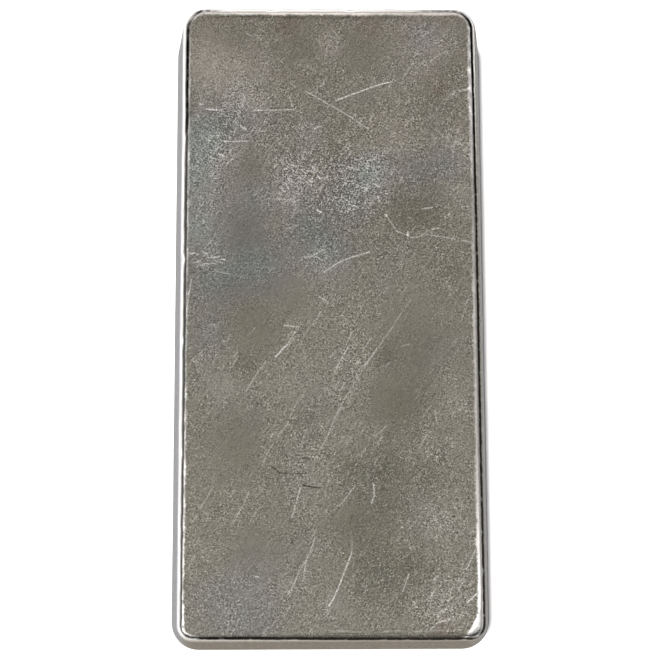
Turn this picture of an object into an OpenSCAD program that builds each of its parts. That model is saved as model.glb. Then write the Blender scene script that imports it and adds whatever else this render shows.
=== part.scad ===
// Cast metal ingot: one solid block as it leaves an open mould.
// It lies on its pour face, the wide one, with the mould-bottom face up.
// Millimetres, +Z up, length along Y, origin at the middle of the pour face.

/* [Cast face] */
// Length of the upper face, to where it would meet the end walls at a sharp edge
face_length = 106.5; // [60:0.5:200]
// Width of the upper face, to where it would meet the side walls at a sharp edge
face_width = 50; // [30:0.5:100]
// Radius of that face's four corners, seen from above
face_corner_radius = 3; // [1.6:0.1:6]

/* [Body] */
// Height from the pour face to the upper face
thickness = 16.8; // [8:0.1:30]
// Lean of the four walls from the vertical, which lets the casting leave its mould
draft_angle = 8; // [2:0.5:20]

/* [Edges] */
// Radius of the rounded edge round the upper face
edge_radius = 1.4; // [0.3:0.1:1.8]
// Radius of the rim where the walls meet the pour face
rim_radius = 1; // [0.3:0.1:1.5]

/* [Hidden] */
$fn = 96;

// How far each wall reaches out between the upper face and the pour face
spread = thickness * tan(draft_angle);
// Angles that the wall turns through at the upper edge and at the rim
edge_turn = 90 - draft_angle;
rim_turn = 90 + draft_angle;
// A fillet leaves at least this much of the flat between it and the corner's centre
least_flat = 0.1;
edge_fillet = min(edge_radius, (face_corner_radius - least_flat) / tan(edge_turn / 2));
rim_fillet = min(rim_radius, (face_corner_radius + spread - least_flat) / tan(rim_turn / 2));
// Distance from each sharp edge to where its fillet starts
edge_setback = edge_fillet * tan(edge_turn / 2);
rim_setback = rim_fillet * tan(rim_turn / 2);
// Each fillet's circle stands this far proud of the flats, so that it cuts them cleanly
fillet_proud = 0.002;
// How far the section between the fillets runs past the flats, so that the flats alone bound it
overcut = 0.5;
// Places of the four corner centres
corner_x = face_width / 2 - face_corner_radius;
corner_y = face_length / 2 - face_corner_radius;

// A point on the wall's line, a distance down the slope from the sharp upper edge
function on_wall(distance) = [
    face_corner_radius + distance * sin(draft_angle),
    thickness - distance * cos(draft_angle)
];

// Section of the wall with sharp edges, from the corner centre at x = 0 outwards
module sharp_section() {
    polygon([[0, 0], [face_corner_radius + spread, 0], [face_corner_radius, thickness], [0, thickness]]);
}

// All of that section but its two sharp corners; between them it runs past the flats
module between_corners() {
    wall_length = thickness / cos(draft_angle);
    past_wall = overcut * [cos(draft_angle), sin(draft_angle)];
    polygon([
        [-overcut, -overcut],
        [face_corner_radius + spread - rim_setback, -overcut],
        [face_corner_radius + spread - rim_setback, 0],
        on_wall(wall_length - rim_setback),
        on_wall(wall_length - rim_setback) + past_wall,
        on_wall(edge_setback) + past_wall,
        on_wall(edge_setback),
        [face_corner_radius - edge_setback, thickness],
        [face_corner_radius - edge_setback, thickness + overcut],
        [-overcut, thickness + overcut],
    ]);
}

// Section of the wall as cast, with the upper edge and the rim rounded
module wall_section() {
    intersection() {
        sharp_section();
        union() {
            between_corners();
            translate([face_corner_radius - edge_setback, thickness - edge_fillet])
                circle(edge_fillet + fillet_proud);
            translate([face_corner_radius + spread - rim_setback, rim_fillet])
                circle(rim_fillet + fillet_proud);
        }
    }
}

// A straight wall along Y, facing +X, as long as the run between two corners
module wall(run) {
    rotate([90, 0, 0]) linear_extrude(run, center = true) wall_section();
}

// A conical corner, facing +X and +Y: the wall's section turned about the corner's centre
module corner() {
    rotate_extrude(angle = 90) wall_section();
}

// The whole casting: a core, with four walls and four corners round it
module ingot() {
    color([0.62, 0.61, 0.57]) union() {
        translate([-corner_x, -corner_y, 0]) cube([2 * corner_x, 2 * corner_y, thickness]);
        for (turn = [0, 180]) {
            rotate(turn) translate([corner_x, 0]) wall(2 * corner_y);
            rotate(turn + 90) translate([corner_y, 0]) wall(2 * corner_x);
            rotate(turn) translate([corner_x, corner_y]) corner();
            rotate(turn + 90) translate([corner_y, corner_x]) corner();
        }
    }
}

ingot();
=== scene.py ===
"""A cast silver ingot with a tarnished, scratched face and bright rubbed edges, in a plain studio.

Sizes of the casting and places on its upper face are in millimetres, from the middle of that face,
with +X to the right and +Y away from the camera. The finished mesh is in metres.
"""
import logging
import math
from dataclasses import dataclass, field
from enum import Enum

import bpy
import numpy as np
from mathutils import Matrix, Vector


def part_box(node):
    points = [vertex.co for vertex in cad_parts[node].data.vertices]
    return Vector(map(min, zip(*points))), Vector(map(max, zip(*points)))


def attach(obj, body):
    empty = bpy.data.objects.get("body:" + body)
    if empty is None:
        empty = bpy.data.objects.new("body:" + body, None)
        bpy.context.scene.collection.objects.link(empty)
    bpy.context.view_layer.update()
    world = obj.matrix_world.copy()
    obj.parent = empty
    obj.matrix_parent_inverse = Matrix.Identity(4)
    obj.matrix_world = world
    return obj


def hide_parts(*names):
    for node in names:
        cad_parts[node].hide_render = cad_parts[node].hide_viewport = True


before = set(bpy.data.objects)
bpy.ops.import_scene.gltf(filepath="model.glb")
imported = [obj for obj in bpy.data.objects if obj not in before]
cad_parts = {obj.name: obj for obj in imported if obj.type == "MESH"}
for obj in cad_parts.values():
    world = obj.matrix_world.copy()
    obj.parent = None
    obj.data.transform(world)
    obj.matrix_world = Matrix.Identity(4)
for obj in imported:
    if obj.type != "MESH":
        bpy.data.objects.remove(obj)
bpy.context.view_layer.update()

log = logging.getLogger("ingot")

MM = 0.001
CAD_NODE = "ingot"
BODY = "root"

# Sockets of a Mix node, by number because its kinds of data share their names
FACTOR = 0
FLOAT_A, FLOAT_B = 2, 3
COLOUR_A, COLOUR_B = 6, 7
COLOUR = 2

# The average of a noise pattern, and how much finer noise it holds
NOISE_MEAN = 0.5
NOISE_DETAIL = 1.0

Point = tuple[float, float]
Path = tuple[Point, ...]
Span = tuple[float, float]
Shares = tuple[tuple[str, float], ...]
Tree = bpy.types.NodeTree
Socket = bpy.types.NodeSocket
Sockets = dict[str, Socket]
Inputs = dict[str | int, object]


class Domain(Enum):
    """Kinds of mesh element that a selection can hold, in Blender's order of select modes."""

    VERTICES = "vertices"
    EDGES = "edges"
    FACES = "polygons"


class Side(Enum):
    """The four edges of the upper face, each by its outward direction in plan."""

    LEFT = (-1.0, 0.0)
    RIGHT = (1.0, 0.0)
    NEAR = (0.0, -1.0)
    FAR = (0.0, 1.0)


@dataclass(frozen=True)
class Scratch:
    """A mark along a path on the upper face.

    Attributes:
        strength: How clearly it shows, from 0 to 1.
        width: Width of the mark in mm.
        path: Its points on the face in mm.
    """

    strength: float
    width: float
    path: Path


@dataclass(frozen=True)
class Patch:
    """A soft patch of tarnish on the upper face.

    Attributes:
        place: Its middle in mm.
        radius: Radius in mm at which it has faded to about a third.
        warmth: Shift towards brown tarnish, or if negative towards grey and then greenish grey.
        shade: Shift towards light, or towards dark if negative.
        grit: How much sharper the grain is, or smoother if negative.
    """

    place: Point
    radius: float
    warmth: float = 0.0
    shade: float = 0.0
    grit: float = 0.0


@dataclass(frozen=True)
class EdgeWear:
    """How handling has rubbed one edge of the upper face, with the dirt and painted light and shade along it.

    Attributes:
        side: Which edge.
        reach: For places along the edge in mm, how far the bright metal runs on to the flat face in mm,
            or starts short of it if negative.
        shine: For places along the edge in mm, how bright that metal is, from 0 to 1.
        dirt_and_painted_shade: For places along the edge in mm, how thick a dark band is, partly dirt and
        partly a painted dark reflection line on the rounding; past 1 it closes its gaps.
        band: For places along the edge in mm, the middle of that band in mm past the start of the rounding.
        breadth: Breadth of that band in mm.
        lower: How bright the lower half of the rounding is, from 0 to 1.
        wall_warmth: Shift of the wall below towards brown tarnish, or towards grey if negative.
        wall_shade: Painted light or shade on that wall: a shift towards light, or towards dark if negative,
        for how brightly the wall reflects the room.
        foot: How thick the painted shade along the wall's base is, from 0 to 1; it stands for the wall's
        reflection of the floor's contact shadow.
    """

    side: Side
    reach: Path
    shine: Path
    dirt_and_painted_shade: Path
    band: Path
    breadth: float
    lower: float
    wall_warmth: float
    wall_shade: float
    foot: float

    # How far from its middle the band of dirt and painted dark reflection ends, and how far it is full,
    # as shares of its breadth
    BAND_END = 0.75
    BAND_CORE = 0.25

    def facing(self, outward: np.ndarray) -> np.ndarray:
        """Tells how far directions point to this edge.

        Args:
            outward: One unit vector in plan for each place.

        Returns:
            One share for each place; those of the four edges add up to 1.
        """
        return np.clip(outward @ np.array(self.side.value), 0.0, 1.0) ** 2

    def along(self, stations: Path, places: np.ndarray) -> np.ndarray:
        """Reads a quantity that changes along the edge.

        Args:
            stations: Places along the edge in mm, each with its value.
            places: One row of x and y for each place.

        Returns:
            One value for each place.
        """
        known = np.array(sorted(stations))
        axis = 0 if self.side in (Side.NEAR, Side.FAR) else 1
        return np.interp(places[:, axis], known[:, 0], known[:, 1])

    def dirt_and_painted_shade_at(self, places: np.ndarray, past: np.ndarray) -> np.ndarray:
        """Tells how thick the band of dirt and painted dark reflection is.

        Args:
            places: One row of x and y for each place.
            past: How far each place is past the start of the rounding in mm.

        Returns:
            One thickness for each place.
        """
        off_middle = np.abs(past - self.along(self.band, places))
        inside = smooth_step(off_middle, self.BAND_END * self.breadth, self.BAND_CORE * self.breadth)
        return self.along(self.dirt_and_painted_shade, places) * inside


@dataclass(frozen=True)
class Facet:
    """A corner of the upper face that is rubbed down to a bright slope.

    Attributes:
        start: Two points in mm on the line where the slope starts, which falls away to the line's right.
        slope: How steeply it falls.
    """

    start: Path
    slope: float

    def past(self, places: np.ndarray) -> np.ndarray:
        """Measures how far places are past the line.

        Args:
            places: One row of x and y for each place.

        Returns:
            One distance in mm for each place, negative where the face is still level.
        """
        first, last = np.array(self.start)
        along = (last - first) / np.linalg.norm(last - first)
        return (places - first) @ np.array([along[1], -along[0]])


@dataclass(frozen=True)
class Dent:
    """A dent in the rounded edge or in a wall.

    Attributes:
        place: Its middle in mm, on the outline of the upper face.
        below: How far its middle is below the upper face in mm.
        radius: Radius in mm.
        depth: Depth in mm.
    """

    place: Point
    below: float
    radius: float
    depth: float


@dataclass(frozen=True)
class Strokes:
    """The run of many fine marks that all lie one way.

    Attributes:
        width: Width of a mark in mm, drawn wide enough to show.
        length: Length of a mark in mm.
        turn: Its direction in degrees from the X axis.
    """

    width: float
    length: float
    turn: float


@dataclass(frozen=True)
class Ramp:
    """How one quantity changes while another goes from one value to a second.

    Attributes:
        from_value: The other quantity where the change starts.
        to_value: The other quantity where it ends.
        start: The result before the change.
        end: The result after it.
    """

    from_value: float
    to_value: float
    start: float = 0.0
    end: float = 1.0

    def inputs(self, value: Socket) -> Inputs:
        """Gives the inputs of a Map Range node that follows the ramp.

        Args:
            value: The quantity that it follows.

        Returns:
            A value or a socket for each input.
        """
        return {"Value": value, "From Min": self.from_value, "From Max": self.to_value,
                "To Min": self.start, "To Max": self.end}


# Grooves that are burnished bright
BRIGHT_SCRATCHES: tuple[Scratch, ...] = (
    Scratch(0.95, 0.27, ((1.0, 36.8), (5.2, 38.4), (8.4, 39.6), (10.6, 40.1))),
    Scratch(0.62, 0.25, ((-4.3, 38.5), (-1.5, 36.9), (0.8, 35.5), (3.5, 33.9), (6.5, 31.8))),
    Scratch(1.00, 0.32, ((-12.7, 35.1), (-11.7, 35.1))),
    Scratch(0.75, 0.25, ((-11.7, 35.1), (-9.8, 35.1), (-6.0, 35.2))),
    Scratch(0.90, 0.32, ((-22.0, 36.2), (-21.6, 35.5), (-20.4, 35.2), (-18.8, 35.1))),
    Scratch(0.80, 0.28, ((-22.1, 29.8), (-20.2, 29.8))),
    Scratch(0.74, 0.26, ((-17.9, 29.6), (-14.0, 29.7))),
    Scratch(0.70, 0.24, ((-21.6, 30.8), (-18.8, 30.6))),
    Scratch(0.55, 0.22, ((12.8, 41.3), (13.4, 42.4), (14.2, 43.4))),
    Scratch(0.55, 0.22, ((17.1, 43.7), (18.8, 45.0), (20.0, 45.6), (20.2, 45.1))),
    Scratch(0.70, 0.35, ((20.8, 37.9), (21.8, 38.5), (23.6, 38.8))),
    Scratch(0.74, 0.26, ((-2.6, 31.9), (-1.6, 32.4))),
    Scratch(0.50, 0.24, ((-17.3, 38.6), (-16.6, 39.0), (-16.2, 38.8))),
    Scratch(0.50, 0.24, ((-12.0, 41.2), (-11.3, 41.5))),
    Scratch(0.35, 0.20, ((0.8, 49.0), (1.3, 48.4), (1.7, 47.7))),
    Scratch(0.50, 0.24, ((0.3, 25.8), (2.1, 25.5), (4.8, 24.7))),
    Scratch(1.00, 0.30, ((10.0, 15.8), (10.2, 15.6))),
    Scratch(0.50, 0.20, ((9.4, 16.8), (10.6, 15.0), (11.2, 14.1), (12.5, 13.6))),
    Scratch(0.85, 0.28, ((11.2, 14.1), (11.5, 13.9))),
    Scratch(1.00, 0.30, ((13.0, 14.0), (13.0, 13.3))),
    Scratch(0.50, 0.22, ((13.4, 13.1), (14.3, 13.0), (15.5, 13.6), (16.6, 14.3))),
    Scratch(0.75, 0.24, ((17.0, 14.5), (18.3, 14.7))),
    Scratch(0.74, 0.26, ((15.4, 18.0), (17.1, 18.2))),
    Scratch(0.45, 0.26, ((16.0, 13.6), (20.9, 12.8), (23.7, 12.2))),
    Scratch(0.80, 0.30, ((-23.4, 10.3), (-22.6, 10.5))),
    Scratch(0.75, 0.28, ((-22.3, 10.2), (-20.6, 10.4))),
    Scratch(0.75, 0.28, ((-20.4, 9.6), (-18.6, 9.8))),
    Scratch(0.80, 0.28, ((-18.3, 9.4), (-17.6, 9.3))),
    Scratch(0.60, 0.26, ((-22.8, 8.8), (-21.9, 9.0))),
    Scratch(0.60, 0.26, ((-21.5, 8.5), (-19.3, 8.7))),
    Scratch(0.60, 0.26, ((-19.0, 9.0), (-18.0, 8.8))),
    Scratch(0.30, 0.35, ((-19.0, 7.4), (-16.8, 6.8))),
    Scratch(0.65, 0.26, ((-4.4, 9.7), (-3.2, 9.8), (-1.2, 11.1))),
    Scratch(0.50, 0.30, ((-2.3, 9.8), (-1.5, 9.2))),
    Scratch(0.65, 0.28, ((-1.3, 7.1), (1.5, 8.9), (3.8, 9.8), (6.6, 10.6))),
    Scratch(0.55, 0.28, ((-1.9, 3.0), (-0.7, 2.3))),
    Scratch(0.60, 0.30, ((-24.0, 0.0), (-23.6, 3.5), (-23.2, 6.0))),
    Scratch(0.60, 0.28, ((-7.7, -1.8), (-5.2, -2.1))),
    Scratch(0.80, 0.36, ((-9.2, -7.1), (-7.9, -5.7), (-7.2, -5.0))),
    Scratch(0.45, 0.25, ((-7.2, -5.0), (-6.4, -3.7), (-5.6, -2.5))),
    Scratch(0.45, 0.24, ((-14.1, -12.9), (-12.2, -9.7), (-10.7, -7.8))),
    Scratch(0.38, 0.20, ((13.4, 2.6), (11.7, 0.2), (10.2, -2.2), (7.1, -6.6), (4.6, -10.3))),
    Scratch(0.48, 0.20, ((4.6, -10.3), (2.1, -14.4), (0.6, -17.2), (-0.5, -20.0), (-1.9, -22.5))),
    Scratch(0.55, 0.26, ((0.6, -9.4), (1.6, -7.6), (2.8, -5.6))),
    Scratch(0.50, 0.25, ((1.5, -12.8), (2.3, -11.4))),
    Scratch(0.40, 0.25, ((4.0, -9.0), (4.8, -7.5))),
    Scratch(0.35, 0.25, ((5.2, -6.2), (6.7, -3.9))),
    Scratch(0.40, 0.22, ((11.5, -5.4), (13.0, -5.0))),
    Scratch(0.40, 0.35, ((-8.8, -20.3), (-7.1, -18.1))),
    Scratch(0.35, 0.25, ((-6.8, -17.0), (-5.4, -14.2))),
    Scratch(0.35, 0.25, ((-11.3, -25.0), (-10.4, -22.8))),
    Scratch(0.35, 0.18, ((1.2, -21.6), (2.3, -20.2))),
    Scratch(0.35, 0.18, ((1.8, -22.0), (2.9, -20.3))),
    Scratch(0.35, 0.18, ((2.4, -22.0), (3.2, -20.3))),
    Scratch(0.40, 0.24, ((7.1, -20.5), (9.0, -18.6))),
    Scratch(0.35, 0.20, ((7.6, -21.6), (8.5, -20.3))),
    Scratch(0.40, 0.22, ((4.8, -23.7), (5.7, -22.2))),
    Scratch(0.40, 0.22, ((7.0, -25.0), (7.6, -23.8))),
    Scratch(0.40, 0.25, ((17.1, -15.9), (17.4, -17.8))),
    Scratch(0.45, 0.25, ((15.6, -16.1), (16.5, -15.3))),
    Scratch(0.30, 0.25, ((14.3, -22.5), (15.7, -20.0))),
    Scratch(0.60, 0.22, ((-6.5, -33.5), (-5.7, -31.0), (-5.1, -28.8))),
    Scratch(0.45, 0.20, ((-15.8, -34.0), (-13.5, -29.7))),
    Scratch(0.35, 0.18, ((-16.4, -34.9), (-15.0, -32.6))),
    Scratch(0.35, 0.18, ((-13.5, -34.5), (-12.1, -32.3))),
    Scratch(0.40, 0.22, ((-22.3, -33.7), (-20.9, -31.2), (-19.3, -28.5))),
    Scratch(0.55, 0.20, ((-2.7, -36.8), (-3.2, -38.2), (-4.1, -40.2), (-4.6, -43.2))),
    Scratch(0.50, 0.22, ((-4.2, -40.4), (-5.4, -42.4), (-6.2, -44.4), (-7.2, -45.9))),
    Scratch(0.30, 0.20, ((3.3, -36.5), (3.3, -39.2))),
    Scratch(0.75, 0.27, ((3.3, -39.2), (2.4, -41.4), (1.2, -44.5), (0.2, -46.7), (-0.5, -47.7))),
    Scratch(0.45, 0.24, ((1.2, -31.7), (2.5, -30.2), (3.8, -28.4))),
    Scratch(0.60, 0.28, ((6.9, -28.0), (7.0, -30.1), (6.5, -31.2))),
    Scratch(0.65, 0.20, ((11.5, -45.5), (12.1, -43.8), (12.6, -42.4))),
    Scratch(0.55, 0.24, ((20.6, -45.4), (21.8, -42.3), (23.4, -38.8))),
    Scratch(0.85, 0.30, ((21.4, -47.7), (22.8, -46.5), (23.9, -45.4))),
    Scratch(0.50, 0.20, ((21.8, -46.9), (22.9, -46.8))),
    Scratch(0.60, 0.24, ((15.9, -51.5), (17.1, -50.4), (19.0, -50.0))),
    Scratch(0.45, 0.22, ((16.3, -49.5), (18.2, -48.3))),
    Scratch(0.40, 0.22, ((12.6, -38.4), (13.7, -38.1))),
    Scratch(0.35, 0.22, ((15.1, -36.7), (15.9, -34.8))),
    Scratch(0.40, 0.22, ((21.7, -37.7), (23.4, -37.2))),
    Scratch(0.40, 0.18, ((-18.6, -47.2), (-18.1, -47.9))),
    Scratch(0.40, 0.18, ((-18.1, -47.1), (-17.7, -47.8))),
    Scratch(0.55, 0.30, ((-14.9, 38.1), (-14.3, 37.0), (-14.9, 36.3))),
    Scratch(0.45, 0.22, ((-6.9, 37.5), (-6.3, 35.5))),
    Scratch(0.74, 0.28, ((-15.2, 32.5), (-14.7, 31.8), (-14.2, 31.8))),
    Scratch(1.00, 0.34, ((-18.8, 27.4), (-17.9, 27.1))),
    Scratch(0.61, 0.26, ((-4.8, 26.5), (-4.2, 28.3))),
    Scratch(0.45, 0.24, ((20.7, 26.8), (21.0, 29.7))),
    Scratch(0.50, 0.26, ((-22.1, 37.7), (-21.5, 35.8))),
    Scratch(1.00, 0.45, ((-2.2, 17.8), (-1.6, 17.4))),
    Scratch(1.00, 0.40, ((9.2, 16.9), (9.4, 16.8))),
    Scratch(1.00, 0.40, ((12.8, 13.5), (13.1, 13.7))),
    Scratch(0.80, 0.28, ((-12.3, -43.0), (-11.9, -43.0))),
    Scratch(0.80, 0.26, ((11.4, -35.1), (11.6, -35.1))),
    Scratch(0.45, 0.22, ((-3.1, -1.9), (-2.2, -0.6), (-1.6, 0.6))),
    Scratch(0.45, 0.20, ((-13.8, -3.6), (-12.6, -2.1))),
    Scratch(0.45, 0.22, ((-16.4, -8.8), (-15.4, -7.0))),
    Scratch(0.45, 0.22, ((-16.2, -7.2), (-15.4, -6.2))),
    Scratch(0.40, 0.22, ((-19.6, -8.2), (-19.0, -6.6))),
    Scratch(0.35, 0.22, ((-17.3, -4.6), (-16.6, -3.3))),
    Scratch(0.40, 0.20, ((-7.4, -5.9), (-6.2, -4.1))),
    Scratch(0.35, 0.20, ((-4.0, -3.0), (-3.3, -1.5))),
    Scratch(0.50, 0.24, ((7.6, -5.8), (5.4, -8.6))),
    Scratch(0.40, 0.22, ((9.0, -8.7), (9.7, -8.1))),
    Scratch(0.35, 0.20, ((11.6, 3.2), (12.7, 4.7))),
    Scratch(0.35, 0.20, ((8.8, 3.6), (9.8, 4.8))),
    Scratch(0.40, 0.22, ((22.3, 1.5), (23.0, 2.5))),
    Scratch(0.60, 0.30, ((-1.6, -18.5), (-1.4, -18.7))),
    Scratch(0.45, 0.22, ((-3.0, -22.2), (-2.6, -22.4))),
    Scratch(0.45, 0.22, ((-4.3, -25.4), (-3.9, -25.5))),
    Scratch(0.55, 0.28, ((-9.9, -20.4), (-9.6, -19.8))),
    Scratch(0.40, 0.26, ((-10.6, -23.0), (-9.5, -21.5))),
    Scratch(0.25, 0.20, ((-19.6, -28.0), (-19.0, -26.3))),
    Scratch(0.25, 0.20, ((-16.5, -28.5), (-16.0, -27.2))),
    Scratch(0.94, 0.30, ((5.2, 26.7), (5.5, 26.9))),
    Scratch(0.68, 0.26, ((8.8, 27.0), (8.9, 27.8))),
    Scratch(0.74, 0.26, ((7.3, 22.3), (8.3, 21.8))),
    Scratch(0.74, 0.26, ((5.1, 21.6), (6.4, 21.5))),
    Scratch(0.68, 0.26, ((8.0, 20.2), (8.3, 19.2))),
    Scratch(0.60, 0.30, ((22.0, 29.3), (22.3, 29.0))),
    Scratch(0.80, 0.30, ((19.8, 16.9), (20.0, 17.2))),
    Scratch(0.50, 0.22, ((21.9, 18.3), (22.6, 18.3))),
    Scratch(0.74, 0.26, ((-7.8, 24.8), (-6.9, 25.2))),
    Scratch(0.68, 0.26, ((-6.6, 25.6), (-5.7, 25.3))),
    Scratch(0.68, 0.26, ((-8.5, 21.8), (-7.6, 20.9))),
    Scratch(0.68, 0.26, ((-16.0, 32.0), (-16.3, 30.8))),
    Scratch(0.74, 0.26, ((-7.6, 22.4), (-7.0, 21.4))),
    Scratch(0.74, 0.26, ((-3.0, 25.2), (-2.4, 24.4))),
    Scratch(0.74, 0.26, ((-5.6, 23.4), (-4.8, 23.2))),
    Scratch(0.68, 0.26, ((-4.0, 22.5), (-3.2, 21.9))),
    Scratch(0.74, 0.26, ((-2.2, 23.8), (-1.6, 23.0))),
    Scratch(0.47, 0.26, ((-9.5, 19.7), (-6.0, 19.5))),
    Scratch(0.81, 0.26, ((3.9, 18.6), (4.6, 18.2))),
    Scratch(0.74, 0.26, ((3.0, 19.2), (3.4, 18.6))),
    Scratch(0.40, 0.24, ((20.0, 24.0), (22.0, 24.5))),
    Scratch(0.50, 0.24, ((-23.5, 25.2), (-22.2, 25.4))),
    Scratch(0.61, 0.26, ((-17.5, 25.7), (-16.5, 26.6))),
    Scratch(0.60, 0.26, ((21.5, -47.4), (22.7, -46.5))),
    Scratch(0.50, 0.24, ((17.2, -48.9), (18.5, -48.2))),
    Scratch(0.40, 0.24, ((-14.2, 48.7), (-13.3, 48.1))),
    Scratch(0.40, 0.24, ((-13.0, 48.5), (-12.1, 48.2))),
    Scratch(0.35, 0.30, ((-3.5, 42.8), (-2.3, 41.8))),
    Scratch(0.35, 0.30, ((-6.8, 40.0), (-5.8, 39.0))),
    Scratch(0.35, 0.30, ((-0.5, 46.0), (-0.8, 44.0))),
    Scratch(0.16, 0.45, ((-0.3, -51.8), (2.0, -51.7), (4.3, -51.9))),
    Scratch(0.16, 0.40, ((7.5, -51.9), (11.0, -51.7))),
    Scratch(0.16, 0.45, ((13.0, -51.9), (15.8, -51.7), (20.7, -51.6))),
)

# Grooves and pits that are filled with dirt
SOILED_SCRATCHES: tuple[Scratch, ...] = (
    Scratch(0.45, 0.20, ((-10.0, 35.5), (-6.5, 35.5))),
    Scratch(0.40, 0.50, ((-21.5, 51.5), (-19.0, 51.6), (-15.5, 51.7), (-12.5, 51.8))),
    Scratch(0.75, 0.27, ((-10.0, -25.0), (-8.5, -26.2), (-6.5, -26.4), (-4.1, -26.3))),
    Scratch(0.90, 0.36, ((-4.7, -23.8), (-3.5, -23.9))),
    Scratch(0.85, 0.30, ((-4.6, -28.3), (-2.0, -28.7))),
    Scratch(0.45, 0.20, ((-13.5, -48.2), (-11.0, -47.9))),
    Scratch(0.45, 0.22, ((-15.7, -8.7), (-15.0, -6.5))),
    Scratch(0.40, 0.20, ((-13.8, -3.7), (-12.4, -1.6))),
    Scratch(0.50, 0.25, ((16.7, -18.8), (17.6, -19.8))),
    Scratch(0.40, 0.20, ((-2.0, -22.2), (0.1, -24.4))),
    Scratch(0.25, 0.50, ((-22.9, -8.0), (-21.3, -12.5))),
    Scratch(0.40, 0.30, ((-21.0, -41.2), (-20.0, -40.8))),
    Scratch(0.90, 0.30, ((3.9, -6.3), (4.1, -6.3))),
    Scratch(0.70, 0.28, ((10.1, -18.0), (10.3, -18.0))),
    Scratch(1.00, 0.36, ((19.8, -33.4), (20.1, -33.4))),
    Scratch(0.90, 0.32, ((21.6, -37.7), (21.9, -37.7))),
    Scratch(0.70, 0.28, ((13.3, -46.5), (13.5, -46.5))),
    Scratch(0.50, 0.40, ((-9.3, 49.3), (-9.0, 49.2))),
)

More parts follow.
